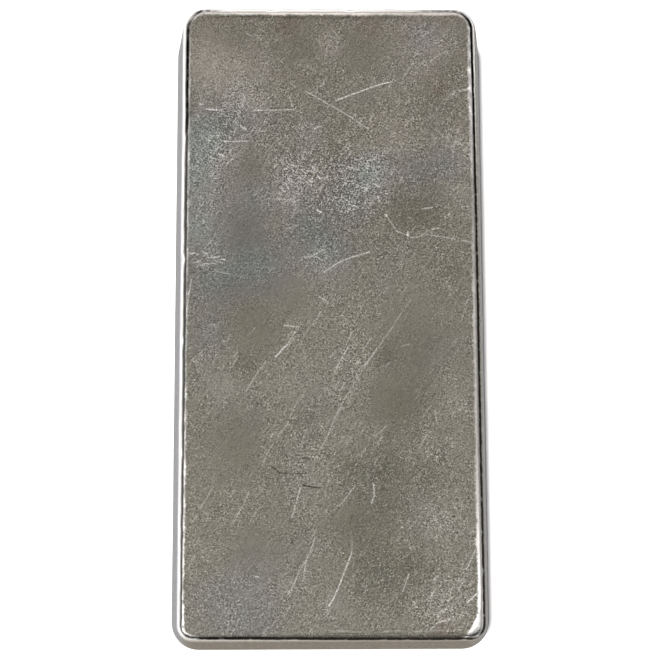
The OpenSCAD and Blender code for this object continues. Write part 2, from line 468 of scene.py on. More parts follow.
PATCHES: tuple[Patch, ...] = (
    Patch((0.0, 27.0), 24.0, grit=0.25),
    Patch((14.0, 44.0), 8.0, shade=0.3),
    Patch((-12.0, -35.0), 12.0, shade=-0.2),
    Patch((-24.0, 25.0), 3.5, warmth=-0.8),
    Patch((-17.0, 7.0), 4.0, warmth=-0.5),
    Patch((7.0, 24.0), 4.5, warmth=-0.6),
    Patch((-3.0, 9.5), 3.5, warmth=-0.7),
    Patch((-7.5, 50.4), 2.6, warmth=1.3, shade=0.15),
    Patch((6.5, 50.3), 2.6, warmth=1.3, shade=0.3),
    Patch((18.5, 39.0), 1.8, warmth=1.4),
    Patch((18.0, -52.2), 3.0, warmth=0.8),
    Patch((-21.0, 43.5), 4.5, shade=1.3),
    Patch((-14.0, 43.0), 4.0, shade=0.8),
    Patch((-16.5, 38.5), 3.5, shade=0.6, grit=0.6),
    Patch((-13.0, 36.0), 3.0, shade=0.6),
    Patch((-16.0, 46.8), 3.5, shade=-0.4, grit=-0.4),
    Patch((-5.5, 47.0), 4.0, shade=-0.3, grit=-0.5),
    Patch((5.8, 46.0), 4.5, shade=-0.35, grit=-0.5),
    Patch((0.4, 46.5), 2.2, shade=0.7, grit=0.3),
    Patch((17.0, 46.5), 3.5, shade=0.5, grit=0.3),
    Patch((16.0, 48.0), 3.0, warmth=-0.8),
    Patch((21.0, 42.0), 2.0, shade=-0.4),
    Patch((17.0, 38.0), 2.5, shade=-0.35),
    Patch((14.0, 34.5), 4.0, grit=0.3),
    Patch((-16.0, 33.0), 5.5, warmth=-0.8, grit=0.5),
    Patch((-22.5, 30.5), 4.5, warmth=-1.4, shade=0.5, grit=0.5),
    Patch((-3.0, 31.0), 2.2, warmth=-0.5, shade=0.6),
    Patch((0.5, 32.0), 2.5, shade=-0.4),
    Patch((1.0, 26.5), 2.8, shade=-0.7),
    Patch((11.5, 30.0), 2.5, shade=0.7, grit=0.3),
    Patch((22.0, 29.0), 3.0, shade=0.5, grit=0.5),
    Patch((-18.5, 27.8), 2.6, shade=0.7, grit=0.8),
    Patch((-12.5, 24.5), 3.5, shade=-0.2, grit=-0.8),
    Patch((-22.0, 22.5), 5.0, warmth=-1.0, shade=0.5, grit=0.4),
    Patch((-13.0, 19.5), 3.0, warmth=-1.0),
    Patch((-6.0, 23.0), 4.5, warmth=-0.7, shade=0.3, grit=1.2),
    Patch((-7.5, 20.0), 2.5, shade=0.5),
    Patch((7.0, 24.5), 3.0, warmth=-0.8, shade=1.0, grit=0.6),
    Patch((6.8, 21.0), 2.0, shade=0.4, grit=0.4),
    Patch((3.0, 23.5), 4.5, warmth=-0.3, shade=-0.3, grit=1.2),
    Patch((3.5, 18.5), 3.5, warmth=-0.9, shade=-0.3, grit=0.7),
    Patch((14.5, 25.2), 2.5, warmth=-0.7),
    Patch((19.0, 25.5), 3.0, warmth=-0.9),
    Patch((21.8, 20.5), 3.0, shade=0.5),
    Patch((14.5, 18.0), 5.0, shade=-0.55, grit=-0.4),
    Patch((12.0, 16.5), 2.2, shade=-0.4),
    Patch((17.0, 16.5), 2.2, shade=-0.3),
    Patch((-22.5, 14.5), 4.5, warmth=-1.4, shade=0.6),
    Patch((-14.0, 14.0), 4.5, warmth=-0.5, shade=-0.5, grit=-0.8),
    Patch((-3.5, 15.0), 4.0, warmth=-1.2, shade=-0.3),
    Patch((1.0, 11.0), 3.0, warmth=-1.0),
    Patch((4.5, 12.5), 4.0, shade=-0.35),
    Patch((-19.5, 9.5), 2.5, shade=0.1, grit=0.5),
    Patch((-12.0, 8.5), 4.5, warmth=-1.3),
    Patch((-20.5, 5.5), 4.5, warmth=-1.0),
    Patch((-15.0, 3.0), 6.0, shade=-0.4, grit=-0.3),
    Patch((-7.0, 4.0), 3.5, grit=-0.7),
    Patch((0.0, 8.5), 3.5, shade=0.35),
    Patch((20.0, 8.0), 4.0, shade=-0.35),
    Patch((14.0, 1.0), 4.0, grit=-0.4),
    Patch((-20.5, -3.0), 3.2, warmth=-0.9),
    Patch((-12.0, -3.5), 4.0, shade=-0.3, grit=-0.5),
    Patch((-14.0, -8.5), 2.0, shade=-0.7),
    Patch((-18.0, -11.8), 2.4, shade=0.7),
    Patch((13.5, -4.5), 5.5, shade=-0.4, grit=-0.7),
    Patch((9.0, -7.0), 2.2, shade=-0.4),
    Patch((4.0, -7.0), 3.5, shade=0.1, grit=0.5),
    Patch((12.0, -15.5), 5.5, shade=-0.65, grit=-0.5),
    Patch((9.2, -14.0), 3.0, shade=-0.05, grit=-0.5),
    Patch((3.0, -12.0), 2.5, grit=0.5),
    Patch((-5.0, -12.0), 4.5, shade=0.25),
    Patch((20.5, -14.0), 3.2, shade=0.4),
    Patch((16.5, -17.0), 2.5, grit=0.6),
    Patch((-4.0, -17.0), 3.0, shade=-0.3),
    Patch((-15.0, -21.5), 5.5, shade=-0.3, grit=-0.7),
    Patch((-4.0, -24.5), 4.0, shade=0.1, grit=0.5),
    Patch((-10.0, -22.0), 3.5, grit=0.35),
    Patch((3.0, -26.0), 2.4, shade=-0.7),
    Patch((9.0, -26.0), 3.8, shade=-0.8),
    Patch((16.0, -27.0), 3.0, shade=-0.6),
    Patch((17.0, -23.0), 3.0, grit=0.4),
    Patch((-3.5, -28.5), 3.0, shade=0.3),
    Patch((5.0, -34.0), 5.0, shade=-0.6, grit=-0.4),
    Patch((10.0, -32.0), 3.0, shade=-0.4),
    Patch((-14.0, -33.0), 3.0, grit=0.4),
    Patch((-19.0, -36.0), 6.0, shade=0.05),
    Patch((-12.5, -38.0), 4.5, shade=-0.1, grit=-0.6),
    Patch((18.5, -34.0), 3.5, shade=0.45, grit=0.4),
    Patch((8.0, -42.5), 5.5, shade=-0.7),
    Patch((13.5, -41.5), 3.0, shade=-0.5),
    Patch((-10.0, -44.0), 7.0, shade=0.2),
    Patch((19.5, -47.0), 4.5, shade=0.4, grit=0.8),
    Patch((-15.0, -48.0), 7.0, warmth=-0.9),
    Patch((0.0, -47.0), 2.0, shade=0.4),
)

# Along each edge a dark band that is partly dirt and partly a painted dark reflection line on the rounding;
# wall_shade paints light or shade on the wall below, and foot paints shade along that wall's base
EDGES: tuple[EdgeWear, ...] = (
    EdgeWear(
        Side.LEFT, breadth=0.5, lower=1.0, wall_warmth=-0.4, wall_shade=0.45, foot=0.0,
        reach=((53.0, 0.3), (45.0, 0.25), (38.0, 0.3), (30.0, 0.3), (4.0, 0.15), (-21.0, 0.2),
               (-40.0, 0.1), (-45.0, 0.05), (-50.0, 0.2), (-53.0, 0.2)),
        shine=((53.0, 1.0), (-53.0, 1.0)),
        dirt_and_painted_shade=((53.0, 0.2), (51.0, 0.5), (49.5, 1.0), (33.0, 0.8), (29.0, 0.2), (-53.0, 0.0)),
        band=((53.0, 0.45), (-53.0, 0.5))),
    EdgeWear(
        Side.RIGHT, breadth=0.42, lower=0.0, wall_warmth=-0.2, wall_shade=0.1, foot=0.6,
        reach=((53.0, 0.4), (48.0, 0.4), (38.0, 0.55), (30.0, 0.35), (21.0, 0.25), (4.0, 0.45),
               (-21.0, 0.4), (-30.0, 0.45), (-43.0, 0.4), (-53.0, 0.5)),
        shine=((53.0, 1.0), (38.0, 1.0), (30.0, 0.65), (21.0, 0.35), (4.0, 0.42), (-21.0, 0.42),
               (-31.0, 0.55), (-43.0, 1.0), (-53.0, 1.0)),
        dirt_and_painted_shade=((53.0, 1.5), (-53.0, 1.5)),
        band=((53.0, 0.42), (48.0, 0.45), (38.0, 0.66), (20.0, 0.77), (2.0, 0.84), (-22.0, 0.88),
              (-44.0, 1.0), (-53.0, 1.0))),
    EdgeWear(
        Side.NEAR, breadth=0.46, lower=0.35, wall_warmth=1.0, wall_shade=-0.57, foot=0.0,
        reach=((-25.0, 0.2), (-22.5, 0.0), (-20.5, -0.5), (0.0, -0.65), (25.0, -0.6)),
        shine=((-25.0, 1.0), (25.0, 1.0)),
        dirt_and_painted_shade=((-25.0, 0.0), (-23.0, 0.2), (-21.0, 1.1), (-20.0, 1.4), (21.0, 1.4), (25.0, 0.4)),
        band=((-25.0, 0.8), (-18.0, 0.82), (-4.0, 0.95), (13.0, 1.04), (25.0, 1.04))),
    EdgeWear(
        Side.FAR, breadth=0.45, lower=0.3, wall_warmth=0.0, wall_shade=0.0, foot=0.2,
        reach=((-25.0, 0.3), (-18.0, 0.3), (-10.0, 0.35), (25.0, 0.4)),
        shine=((-25.0, 1.0), (5.0, 1.0), (12.0, 0.75), (25.0, 0.8)),
        dirt_and_painted_shade=((-25.0, 0.2), (-23.5, 0.3), (-22.5, 1.0), (-21.0, 0.8), (-18.5, 0.2), (-16.5, 0.0),
               (-15.0, 0.3), (-12.0, 0.5), (-9.5, 0.2), (-7.0, 0.55), (-4.0, 0.3), (-1.0, 0.45),
               (3.0, 0.5), (6.0, 0.3), (10.0, 0.4), (12.0, 0.2), (13.5, 0.0), (16.0, 0.4),
               (20.0, 0.7), (25.0, 1.0)),
        band=((-25.0, 0.75), (-18.5, 0.75), (-15.5, -0.35), (12.5, -0.35), (15.5, 0.8), (20.0, 0.8),
              (25.0, 0.6))),
)

WORN_CORNER = Facet(((22.0, -51.8), (23.8, -48.6)), slope=0.08)

DENTS: tuple[Dent, ...] = (
    Dent((-25.0, 30.5), 0.3, 0.9, 0.12),
    Dent((-25.0, 9.5), 0.2, 1.0, 0.15),
    Dent((-25.0, -4.2), 0.2, 0.8, 0.12),
    Dent((-25.0, -23.0), 0.4, 0.9, 0.10),
    Dent((25.0, 38.8), 0.2, 0.9, 0.14),
    Dent((25.0, 12.0), 0.2, 0.8, 0.12),
    Dent((25.0, -22.5), 0.2, 1.1, 0.14),
    Dent((25.0, -37.0), 0.2, 0.8, 0.12),
    Dent((-10.0, 53.25), 0.2, 1.0, 0.14),
    Dent((3.5, 53.25), 0.2, 1.2, 0.12),
    Dent((-6.0, -53.25), 0.2, 0.9, 0.10),
    Dent((12.0, -53.25), 0.2, 1.0, 0.12),
    Dent((21.5, -53.25), 0.3, 1.1, 0.16),
)


def linear(hex_code: str) -> tuple[float, float, float, float]:
    """Turns an sRGB hex colour to linear light.

    Args:
        hex_code: A colour such as "#9c968a".

    Returns:
        Red, green, blue and alpha for a colour socket.
    """
    channels = [int(hex_code[start:start + 2], 16) / 255 for start in (1, 3, 5)]
    light = [c / 12.92 if c <= 0.04045 else ((c + 0.055) / 1.055) ** 2.4 for c in channels]
    return (light[0], light[1], light[2], 1.0)


def lit(hex_code: str, radiance: float) -> list[float]:
    """Gives the red, green and blue light of a colour at a brightness."""
    return [part * radiance for part in linear(hex_code)[:3]]


def add_node(tree: Tree, kind: str, inputs: Inputs | None = None, **settings: object) -> bpy.types.Node:
    """Adds a shader node, sets it up and links it.

    Args:
        tree: The node tree that takes it.
        kind: The node's type name without its first part, which all shader nodes share.
        inputs: For each input by name or index, a value to set or an output socket to link.
        **settings: The node's own properties.

    Returns:
        The new node.
    """
    node = tree.nodes.new("ShaderNode" + kind)
    for name, value in settings.items():
        setattr(node, name, value)
    for key, value in (inputs or {}).items():
        if isinstance(value, Socket):
            tree.links.new(value, node.inputs[key])
        else:
            node.inputs[key].default_value = value
    return node


def per_metre(size_mm: float) -> float:
    """Gives the texture scale at which a pattern's features are that many millimetres wide."""
    return 1.0 / (size_mm * MM)


def open_with_selected(piece: bpy.types.Object, domain: Domain, chosen: np.ndarray) -> None:
    """Opens edit mode on a piece with only the chosen elements selected.

    Args:
        piece: The mesh object, which is the active one.
        domain: The kind of element that is chosen.
        chosen: True for each element to select.
    """
    bpy.ops.object.mode_set(mode="OBJECT")
    for kind in Domain:
        elements = getattr(piece.data, kind.value)
        elements.foreach_set("select", chosen if kind is domain else np.zeros(len(elements), bool))
    bpy.context.tool_settings.mesh_select_mode = [kind is domain for kind in Domain]
    bpy.ops.object.mode_set(mode="EDIT")


def read_places(piece: bpy.types.Object, domain: Domain) -> np.ndarray:
    """Reads where a mesh has its vertices or the middles of its faces.

    Args:
        piece: The mesh object.
        domain: Which of these.

    Returns:
        One row of x, y and z for each.
    """
    bpy.ops.object.mode_set(mode="OBJECT")
    elements = getattr(piece.data, domain.value)
    places = np.empty(len(elements) * 3)
    elements.foreach_get("co" if domain is Domain.VERTICES else "center", places)
    return places.reshape(-1, 3)


def path_distance(places: np.ndarray, path: Path) -> np.ndarray:
    """Measures how far points are from a path of straight runs.

    Args:
        places: One row of x and y for each point.
        path: The path's corners.

    Returns:
        One distance for each point.
    """
    corners = np.array(path)
    lengths = np.linalg.norm(np.diff(corners, axis=0), axis=1)
    nearest = np.full(len(places), np.inf)
    for first, last, length in zip(corners[:-1], corners[1:], lengths):
        direction = (last - first) / length
        reach = np.clip((places - first) @ direction, 0.0, length)
        away = np.linalg.norm(places - first - reach[:, None] * direction, axis=1)
        nearest = np.minimum(nearest, away)
    return nearest


def smooth_step(values: np.ndarray, start: float, end: float) -> np.ndarray:
    """Rises smoothly from 0 to 1 as values go from start to end.

    Args:
        values: The values to map.
        start: Where the rise starts.
        end: Where it ends, which may be the lower one.

    Returns:
        One number from 0 to 1 for each value.
    """
    share = np.clip((values - start) / (end - start), 0.0, 1.0)
    return share * share * (3.0 - 2.0 * share)


@dataclass(frozen=True)
class TarnishedSilver:
    """Cast silver, dulled by tarnish on its flats and burnished where hands and tables rub it.

    Poured into an open iron mould it takes the mould's fine sandy skin. Tarnish turns that to a soft
    olive grey with cooler patches, and the rubbed edges and scratches stay mirror bright.

    Attributes:
        warm_tarnish: Olive tarnish, the usual one.
        thick_tarnish: Yellower tarnish, where the face is dark.
        cool_tarnish: Greyer patches.
        thin_tarnish: The thinnest film, a greenish grey.
        brown_stain: Spots of heavier stain.
        silver: Bare rubbed metal.
        dirt_and_shade_colour: Dirt packed into old grooves and along the edges, and the same colour for
        painted shade: a dark reflection line on the rounding and shade along a wall's base.
        face_glance: Share of light that the upper face keeps at a glancing angle.
        wall_glance: The same on the walls, where the tarnish lies thicker.
        stained_glance: The same where that tarnish is brown.
        tarnish_roughness: Roughness of the tarnished skin, by the small clouds.
        scratch_roughness: Roughness of a scratch.
        polish_roughness: Roughness of a rubbed edge.
        grain_mm: Width of the skin's grains, drawn wide enough to show.
        speck_mm: Width of the bright specks and dark pits, drawn so too.
        mottle_mm: Width of the tarnish's small clouds.
        patch_mm: Width of the areas in which the grain is sharper or smoother.
        cloud_mm: Width of the tarnish's large clouds.
        wiping: Long marks of wiping and handling.
        chafing: Short marks along the same way.
        scuffing: Short marks across it.
        grain_depth_mm: Depth of the skin's grain.
        grain_left: Share of that depth that is left, by the polish.
        browned: How brown the walls' tarnish is at a glancing angle, by the warmth.
        off_face: How far a place is off the upper face, by the rub.
        patchiness: Contrast of the grain, by the areas.
        grittiness: The same, by the grit.
        clumping: The same, by the small clouds.
        edge_wander: How far patterns shift the line along which an edge is rubbed, in mm.
        edge_line: The polish, by how far a place is past that line.
        scratch_breaks: How bare a scratch is, by the specks.
        flecks: How bare the metal is besides, by each of some patterns.
        cloud_warmth: Share of the large clouds in the warmth.
        cooling: From thin to cool tarnish, by the warmth.
        warming: From cool to warm tarnish, by the warmth.
        browning: From there to brown stain, by the warmth.
        thickening: From warm to thick tarnish, by the shade.
        dirt_and_shade_breaks: How thick the dirt and painted shade lie, by the small clouds.
        fine_shares: Shares of the fine patterns in the tarnish's tone.
        light_skew: How much more these lighten it than they darken it.
        pits: How much the pits darken it, by the specks.
        mean_tone: The tone to which all these are added.
        cloud_share: Share of the large clouds in the tone.
        wiping_share: Share of the marks of wiping in it.
        shade_share: Share of the shade in it.
        tone_limits: The darkest and the lightest tone.
    """

    warm_tarnish: str = "#959186"
    thick_tarnish: str = "#949180"
    cool_tarnish: str = "#928f8a"
    thin_tarnish: str = "#8d918c"
    brown_stain: str = "#87786c"
    silver: str = "#f2f0ec"
    dirt_and_shade_colour: str = "#2b2823"
    face_glance: str = "#f0eee9"
    wall_glance: str = "#a9acb7"
    stained_glance: str = "#a9a4a0"
    tarnish_roughness: Ramp = Ramp(0.3, 0.7, 0.43, 0.53)
    scratch_roughness: float = 0.30
    polish_roughness: float = 0.15
    grain_mm: float = 0.29
    speck_mm: float = 0.22
    mottle_mm: float = 0.9
    patch_mm: float = 3.0
    cloud_mm: float = 7.0
    wiping: Strokes = Strokes(width=0.20, length=8.0, turn=61.0)
    chafing: Strokes = Strokes(width=0.20, length=1.6, turn=57.0)
    scuffing: Strokes = Strokes(width=0.20, length=1.2, turn=-14.0)
    grain_depth_mm: float = 0.02
    grain_left: Ramp = Ramp(0.0, 1.0, 1.0, 0.15)
    browned: Ramp = Ramp(0.2, 1.0)
    off_face: Ramp = Ramp(-0.8, 0.3)
    patchiness: Ramp = Ramp(0.38, 0.64, 0.75, 1.25)
    grittiness: Ramp = Ramp(-0.5, 1.5, 0.27, 2.4)
    clumping: Ramp = Ramp(0.35, 0.65, 0.65, 1.35)
    edge_wander: Shares = (("patch", 0.30), ("mottle", 0.40), ("grain", 0.40))
    edge_line: Ramp = Ramp(0.60, 1.12)
    scratch_breaks: Ramp = Ramp(0.38, 0.58, 0.25, 1.35)
    flecks: tuple[tuple[str, Ramp], ...] = (
        ("speck", Ramp(0.60, 0.76, end=0.6)),
        ("chafing", Ramp(0.66, 0.86, end=0.45)),
        ("scuffing", Ramp(0.66, 0.86, end=0.45)),
    )
    cloud_warmth: float = 0.8
    cooling: Ramp = Ramp(-1.1, -0.4)
    warming: Ramp = Ramp(-0.4, 0.4)
    browning: Ramp = Ramp(0.8, 2.0)
    thickening: Ramp = Ramp(0.4, -1.0)
    dirt_and_shade_breaks: Ramp = Ramp(0.3, 0.6, 0.55, 1.3)
    fine_shares: Shares = (("grain", 1.85), ("chafing", 0.45), ("scuffing", 0.45), ("mottle", 0.26))
    light_skew: float = 1.35
    pits: Ramp = Ramp(0.42, 0.26, end=-0.70)
    mean_tone: float = 0.704
    cloud_share: float = 0.10
    wiping_share: float = 0.22
    shade_share: float = 0.31
    tone_limits: Span = (0.45, 1.9)

    def material(self) -> bpy.types.Material:
        """Builds the finish.

        Returns:
            A material that reads Object coordinates and the casting's own attributes.
        """
        material = bpy.data.materials.new("tarnished_cast_silver")
        material.use_nodes = True
        tree = material.node_tree
        tree.nodes.clear()
        coords = add_node(tree, "TexCoord").outputs["Object"]
        marks = {
            name: add_node(tree, "Attribute", attribute_name=name).outputs["Fac"]
            for name in ("scratch", "rub", "dull", "soil_and_painted_shade", "warmth", "shade", "grit")
        }
        patterns = self._patterns(tree, coords)
        patterns["contrast"] = self._contrast(tree, marks, patterns)
        polish = self._polish(tree, marks, patterns)
        bare = self._bare_metal(tree, marks, patterns, polish)
        grain_left = add_node(tree, "MapRange", self.grain_left.inputs(polish))
        bump = add_node(tree, "Bump", {
            "Strength": grain_left.outputs[0],
            "Distance": self.grain_depth_mm * MM,
            "Height": patterns["grain"],
        })
        shader = add_node(tree, "BsdfPrincipled", {
            "Base Color": self._colour(tree, marks, patterns, bare),
            "Metallic": 1.0,
            "Roughness": self._roughness(tree, patterns, bare, polish),
            "Specular Tint": self._glance(tree, marks),
            "Normal": bump.outputs["Normal"],
        })
        add_node(tree, "OutputMaterial", {"Surface": shader.outputs["BSDF"]})
        return material

    def _patterns(self, tree: Tree, coords: Socket) -> Sockets:
        """Adds the patterns of the skin, each about 0.5 on average.

        Args:
            tree: The material's nodes.
            coords: The Object coordinates.

        Returns:
            The patterns by name.
        """
        sizes = {"grain": self.grain_mm, "speck": self.speck_mm, "mottle": self.mottle_mm,
                 "patch": self.patch_mm, "cloud": self.cloud_mm}
        patterns = {
            name: add_node(tree, "TexNoise", {
                "Vector": coords, "Scale": per_metre(size), "Detail": NOISE_DETAIL}).outputs["Fac"]
            for name, size in sizes.items()
        }
        runs = {"wiping": self.wiping, "chafing": self.chafing, "scuffing": self.scuffing}
        for name, strokes in runs.items():
            along = add_node(tree, "Mapping", {
                "Vector": coords,
                "Rotation": (0.0, 0.0, math.radians(strokes.turn)),
                "Scale": (strokes.length * MM, strokes.width * MM, strokes.length * MM),
            }, vector_type="TEXTURE")
            patterns[name] = add_node(tree, "TexNoise", {
                "Vector": along.outputs["Vector"], "Scale": 1.0, "Detail": NOISE_DETAIL}).outputs["Fac"]
        return patterns

    def _contrast(self, tree: Tree, marks: Sockets, patterns: Sockets) -> Socket:
        """Makes the grain sharper in gritty areas, with smooth patches between.

        Args:
            tree: The material's nodes.
            marks: The casting's attributes.
            patterns: The skin's patterns.

        Returns:
            The contrast of the grain, about 1 on average.
        """
        contrast = 1.0
        for ramp, part in ((self.patchiness, patterns["patch"]), (self.grittiness, marks["grit"]),
                           (self.clumping, patterns["mottle"])):
            factor = add_node(tree, "MapRange", ramp.inputs(part))
            contrast = add_node(tree, "Math", {0: contrast, 1: factor.outputs[0]},
                                operation="MULTIPLY").outputs[0]
        return contrast

    def _polish(self, tree: Tree, marks: Sockets, patterns: Sockets) -> Socket:
        """Rubs the edges bright along an uneven line.

        Args:
            tree: The material's nodes.
            marks: The casting's attributes.
            patterns: The skin's patterns.

        Returns:
            How polished the metal is, from 0 to 1.
        """
        line = marks["rub"]
        for name, shift in self.edge_wander:
            line = add_node(tree, "Math", {0: patterns[name], 1: shift, 2: line},
                            operation="MULTIPLY_ADD").outputs[0]
        rubbed = add_node(tree, "MapRange", self.edge_line.inputs(line), interpolation_type="SMOOTHSTEP")
        bright = add_node(tree, "Math", {0: 1.0, 1: marks["dull"]}, operation="SUBTRACT")
        polish = add_node(tree, "Math", {0: rubbed.outputs[0], 1: bright.outputs[0]}, operation="MULTIPLY")
        return polish.outputs[0]

    def _bare_metal(self, tree: Tree, marks: Sockets, patterns: Sockets, polish: Socket) -> Socket:
        """Breaks up the scratches with grain and adds bright specks and chafes where the skin is gritty.

        Args:
            tree: The material's nodes.
            marks: The casting's attributes.
            patterns: The skin's patterns.
            polish: How polished the metal is.

        Returns:
            How bare the metal is, from 0 to 1.
        """
        broken = add_node(tree, "MapRange", self.scratch_breaks.inputs(patterns["speck"]))
        bare = add_node(tree, "Math", {0: marks["scratch"], 1: broken.outputs[0]}, operation="MULTIPLY")
        for name, ramp in self.flecks:
            fleck = add_node(tree, "MapRange", ramp.inputs(patterns[name]))
            sharp = add_node(tree, "Math", {0: fleck.outputs[0], 1: patterns["contrast"]},
                             operation="MULTIPLY")
            bare = add_node(tree, "Math", {0: bare.outputs[0], 1: sharp.outputs[0]}, operation="MAXIMUM")
        bare = add_node(tree, "Math", {0: bare.outputs[0], 1: polish}, operation="MAXIMUM", use_clamp=True)
        return bare.outputs[0]

    def _colour(self, tree: Tree, marks: Sockets, patterns: Sockets, bare: Socket) -> Socket:
        """Lays tarnish, stains, bare metal, and dirt with painted shade over each other.

        Args:
            tree: The material's nodes.
            marks: The casting's attributes.
            patterns: The skin's patterns.
            bare: How bare the metal is.

        Returns:
            The base colour.
        """
        warmth = add_node(tree, "Math", {0: patterns["cloud"], 1: self.cloud_warmth, 2: marks["warmth"]},
                          operation="MULTIPLY_ADD").outputs[0]
        thickness = add_node(tree, "MapRange", self.thickening.inputs(marks["shade"]))
        olive = add_node(tree, "Mix", {
            FACTOR: thickness.outputs[0],
            COLOUR_A: linear(self.warm_tarnish),
            COLOUR_B: linear(self.thick_tarnish),
        }, data_type="RGBA").outputs[COLOUR]
        colour = linear(self.thin_tarnish)
        for ramp, film in ((self.cooling, linear(self.cool_tarnish)), (self.warming, olive),
                           (self.browning, linear(self.brown_stain))):
            share = add_node(tree, "MapRange", ramp.inputs(warmth))
            colour = add_node(tree, "Mix", {FACTOR: share.outputs[0], COLOUR_A: colour, COLOUR_B: film},
                              data_type="RGBA").outputs[COLOUR]
        tone = self._tone(tree, marks, patterns)
        colour = add_node(tree, "Mix", {FACTOR: 1.0, COLOUR_A: colour, COLOUR_B: tone},
                          data_type="RGBA", blend_type="MULTIPLY").outputs[COLOUR]
        # Dirt, and painted shade: a dark reflection line on the rounding and shade along a wall's base, in
        # one dark colour
        broken = add_node(tree, "MapRange", self.dirt_and_shade_breaks.inputs(patterns["mottle"]))
        soil_and_painted_shade = add_node(tree, "Math", {0: marks["soil_and_painted_shade"], 1: broken.outputs[0]}, operation="MULTIPLY")
        for share, cover in ((bare, self.silver), (soil_and_painted_shade.outputs[0], self.dirt_and_shade_colour)):
            colour = add_node(tree, "Mix", {FACTOR: share, COLOUR_A: colour, COLOUR_B: linear(cover)},
                              data_type="RGBA").outputs[COLOUR]
        return colour

    def _tone(self, tree: Tree, marks: Sockets, patterns: Sockets) -> Socket:
        """Adds up how light or dark the tarnish is at each place, with the walls' painted light and shade.

        Args:
            tree: The material's nodes.
            marks: The casting's attributes.
            patterns: The skin's patterns.

        Returns:
            A factor about 1 for the tarnish's colour.
        """
        fine = 0.0
        for name, share in self.fine_shares:
            centred = add_node(tree, "Math", {0: patterns[name], 1: NOISE_MEAN}, operation="SUBTRACT")
            fine = add_node(tree, "Math", {0: centred.outputs[0], 1: share, 2: fine},
                            operation="MULTIPLY_ADD").outputs[0]
        lighter = add_node(tree, "Math", {0: fine, 1: self.light_skew}, operation="MULTIPLY")
        skewed = add_node(tree, "Math", {0: fine, 1: lighter.outputs[0]}, operation="MAXIMUM")
        pits = add_node(tree, "MapRange", self.pits.inputs(patterns["speck"]))
        pitted = add_node(tree, "Math", {0: skewed.outputs[0], 1: pits.outputs[0]}, operation="ADD")
        tone = add_node(tree, "Math", {0: pitted.outputs[0], 1: patterns["contrast"], 2: self.mean_tone},
                        operation="MULTIPLY_ADD").outputs[0]
        # The shade mark holds the face's tarnish patches and the walls' painted light and shade
        for part, share in ((patterns["cloud"], self.cloud_share), (patterns["wiping"], self.wiping_share),
                            (marks["shade"], self.shade_share)):
            tone = add_node(tree, "Math", {0: part, 1: share, 2: tone}, operation="MULTIPLY_ADD").outputs[0]
        darkest, lightest = self.tone_limits
        return add_node(tree, "Clamp", {"Value": tone, "Min": darkest, "Max": lightest}).outputs[0]

    def _roughness(self, tree: Tree, patterns: Sockets, bare: Socket, polish: Socket) -> Socket:
        """Makes the tarnish dull, the scratches satin and the rubbed edges glossy.

        Args:
            tree: The material's nodes.
            patterns: The skin's patterns.
            bare: How bare the metal is.
            polish: How polished the metal is.

        Returns:
            The roughness.
        """
        roughness = add_node(tree, "MapRange", self.tarnish_roughness.inputs(patterns["mottle"])).outputs[0]
        for share, smoother in ((bare, self.scratch_roughness), (polish, self.polish_roughness)):
            roughness = add_node(tree, "Mix", {
                FACTOR: share, FLOAT_A: roughness, FLOAT_B: smoother}).outputs[0]
        return roughness

    def _glance(self, tree: Tree, marks: Sockets) -> Socket:
        """Dims the walls at a glancing angle, where their thicker tarnish swallows light.

        Args:
            tree: The material's nodes.
            marks: The casting's attributes.

        Returns:
            The colour of the light that is kept.
        """
        brown = add_node(tree, "MapRange", self.browned.inputs(marks["warmth"]))
        wall = add_node(tree, "Mix", {
            FACTOR: brown.outputs[0],
            COLOUR_A: linear(self.wall_glance),
            COLOUR_B: linear(self.stained_glance),
        }, data_type="RGBA")
        off_face = add_node(tree, "MapRange", self.off_face.inputs(marks["rub"]))
        glance = add_node(tree, "Mix", {
            FACTOR: off_face.outputs[0],
            COLOUR_A: linear(self.face_glance),
            COLOUR_B: wall.outputs[COLOUR],
        }, data_type="RGBA")
        return glance.outputs[COLOUR]


